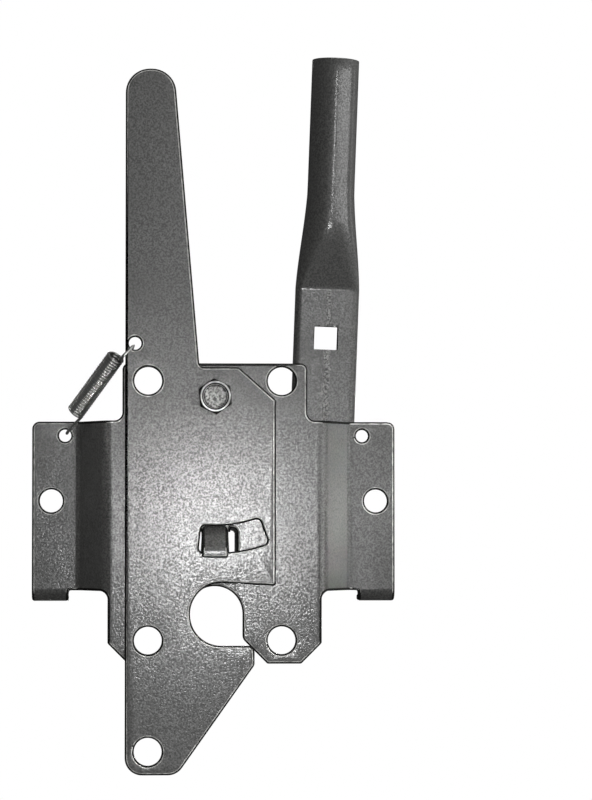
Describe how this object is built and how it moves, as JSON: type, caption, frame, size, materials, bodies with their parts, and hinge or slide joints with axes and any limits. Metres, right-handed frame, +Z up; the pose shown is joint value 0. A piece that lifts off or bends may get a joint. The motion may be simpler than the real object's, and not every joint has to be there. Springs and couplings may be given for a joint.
{
  "type": "post latch",
  "caption": "Spring-loaded gate latch: folded post bracket, pivoting hook lever with handle, return spring and its strike tube.",
  "frame": {"origin": "midway between the two flange bolt holes, on the back of the flanges, which is the post's face", "axes": "+X to the right seen from the front, -Y out of the post towards the user, +Z up along the lever's handle"},
  "size_m": [0.17, 0.0477, 0.3351],
  "materials": {
    "powder_coat": "satin",
    "spring_steel": "satin",
    "zinc": "satin",
    "nylon": "matte"
  },
  "bodies": {
    "bracket": {"post_bracket": "powder_coat", "pivot_bolt": "powder_coat", "pivot_washer": "zinc", "lock_nut": "zinc", "nut_insert": "nylon", "return_spring": "spring_steel", "strike_tube": "powder_coat"},
    "lever": {"latch_lever": "powder_coat"}
  },
  "joints": [
    {"name": "lever_pivot", "type": "hinge", "parent": "bracket", "child": "lever", "pos_m": [0, -0.0257, 0.048], "axis": [0, 1, 0], "range_deg": [0, 14], "stiffness_Nm_per_rad": 10, "springref_deg": -3.44, "deforming": ["return_spring"]}
  ]
}
